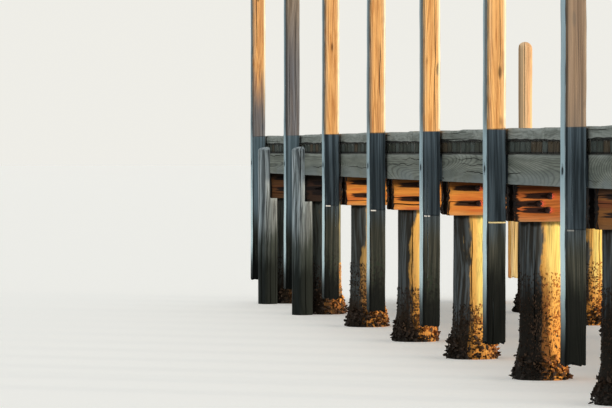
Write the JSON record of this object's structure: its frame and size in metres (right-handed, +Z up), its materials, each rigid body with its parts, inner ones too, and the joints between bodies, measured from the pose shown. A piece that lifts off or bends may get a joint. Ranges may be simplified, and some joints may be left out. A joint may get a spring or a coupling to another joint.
{
  "type": "timber jetty",
  "caption": "Straight timber jetty on round piles with crossheads, stringers, a plank deck, kerbs, tall square fender posts on one side and mooring poles on the other.",
  "frame": {"origin": "middle of the deck's length and width, at the water level where the piles end", "axes": "+X along the jetty to the shore, -Y to the side with the tall posts, +Z up"},
  "size_m": [18.2, 3.36, 3.85],
  "materials": {
    "pile_timber": "weathered",
    "crosshead_timber": "weathered",
    "post_timber": "weathered",
    "stringer_timber": "weathered",
    "deck_timber": "weathered",
    "kerb_timber": "weathered"
  },
  "bodies": {
    "root": {"near_pile_0": "pile_timber", "far_pile_0": "pile_timber", "crosshead_0": "crosshead_timber", "near_fender_post_0": "post_timber", "near_pile_1": "pile_timber", "far_pile_1": "pile_timber", "crosshead_1": "crosshead_timber", "near_fender_post_1": "post_timber", "near_pile_2": "pile_timber", "far_pile_2": "pile_timber", "crosshead_2": "crosshead_timber", "near_fender_post_2": "post_timber", "near_pile_3": "pile_timber", "far_pile_3": "pile_timber", "crosshead_3": "crosshead_timber", "near_fender_post_3": "post_timber", "near_pile_4": "pile_timber", "far_pile_4": "pile_timber", "crosshead_4": "crosshead_timber", "near_fender_post_4": "post_timber", "near_pile_5": "pile_timber", "far_pile_5": "pile_timber", "crosshead_5": "crosshead_timber", "near_fender_post_5": "post_timber", "near_pile_6": "pile_timber", "far_pile_6": "pile_timber", "crosshead_6": "crosshead_timber", "near_fender_post_6": "post_timber", "far_fender_posts": "post_timber", "near_stringer": "stringer_timber", "far_stringer": "stringer_timber", "inner_stringers": "stringer_timber", "deck_bay_1": "deck_timber", "deck_bay_2": "deck_timber", "deck_bay_3": "deck_timber", "deck_bay_4": "deck_timber", "deck_bay_5": "deck_timber", "deck_bay_6": "deck_timber", "near_kerb": "kerb_timber", "far_kerb": "kerb_timber", "head_kerb": "kerb_timber", "head_fender_pile_5": "pile_timber", "head_fender_pile_6": "pile_timber", "mooring_pole_0": "pile_timber", "mooring_pole_6": "pile_timber"}
  },
  "joints": []
}
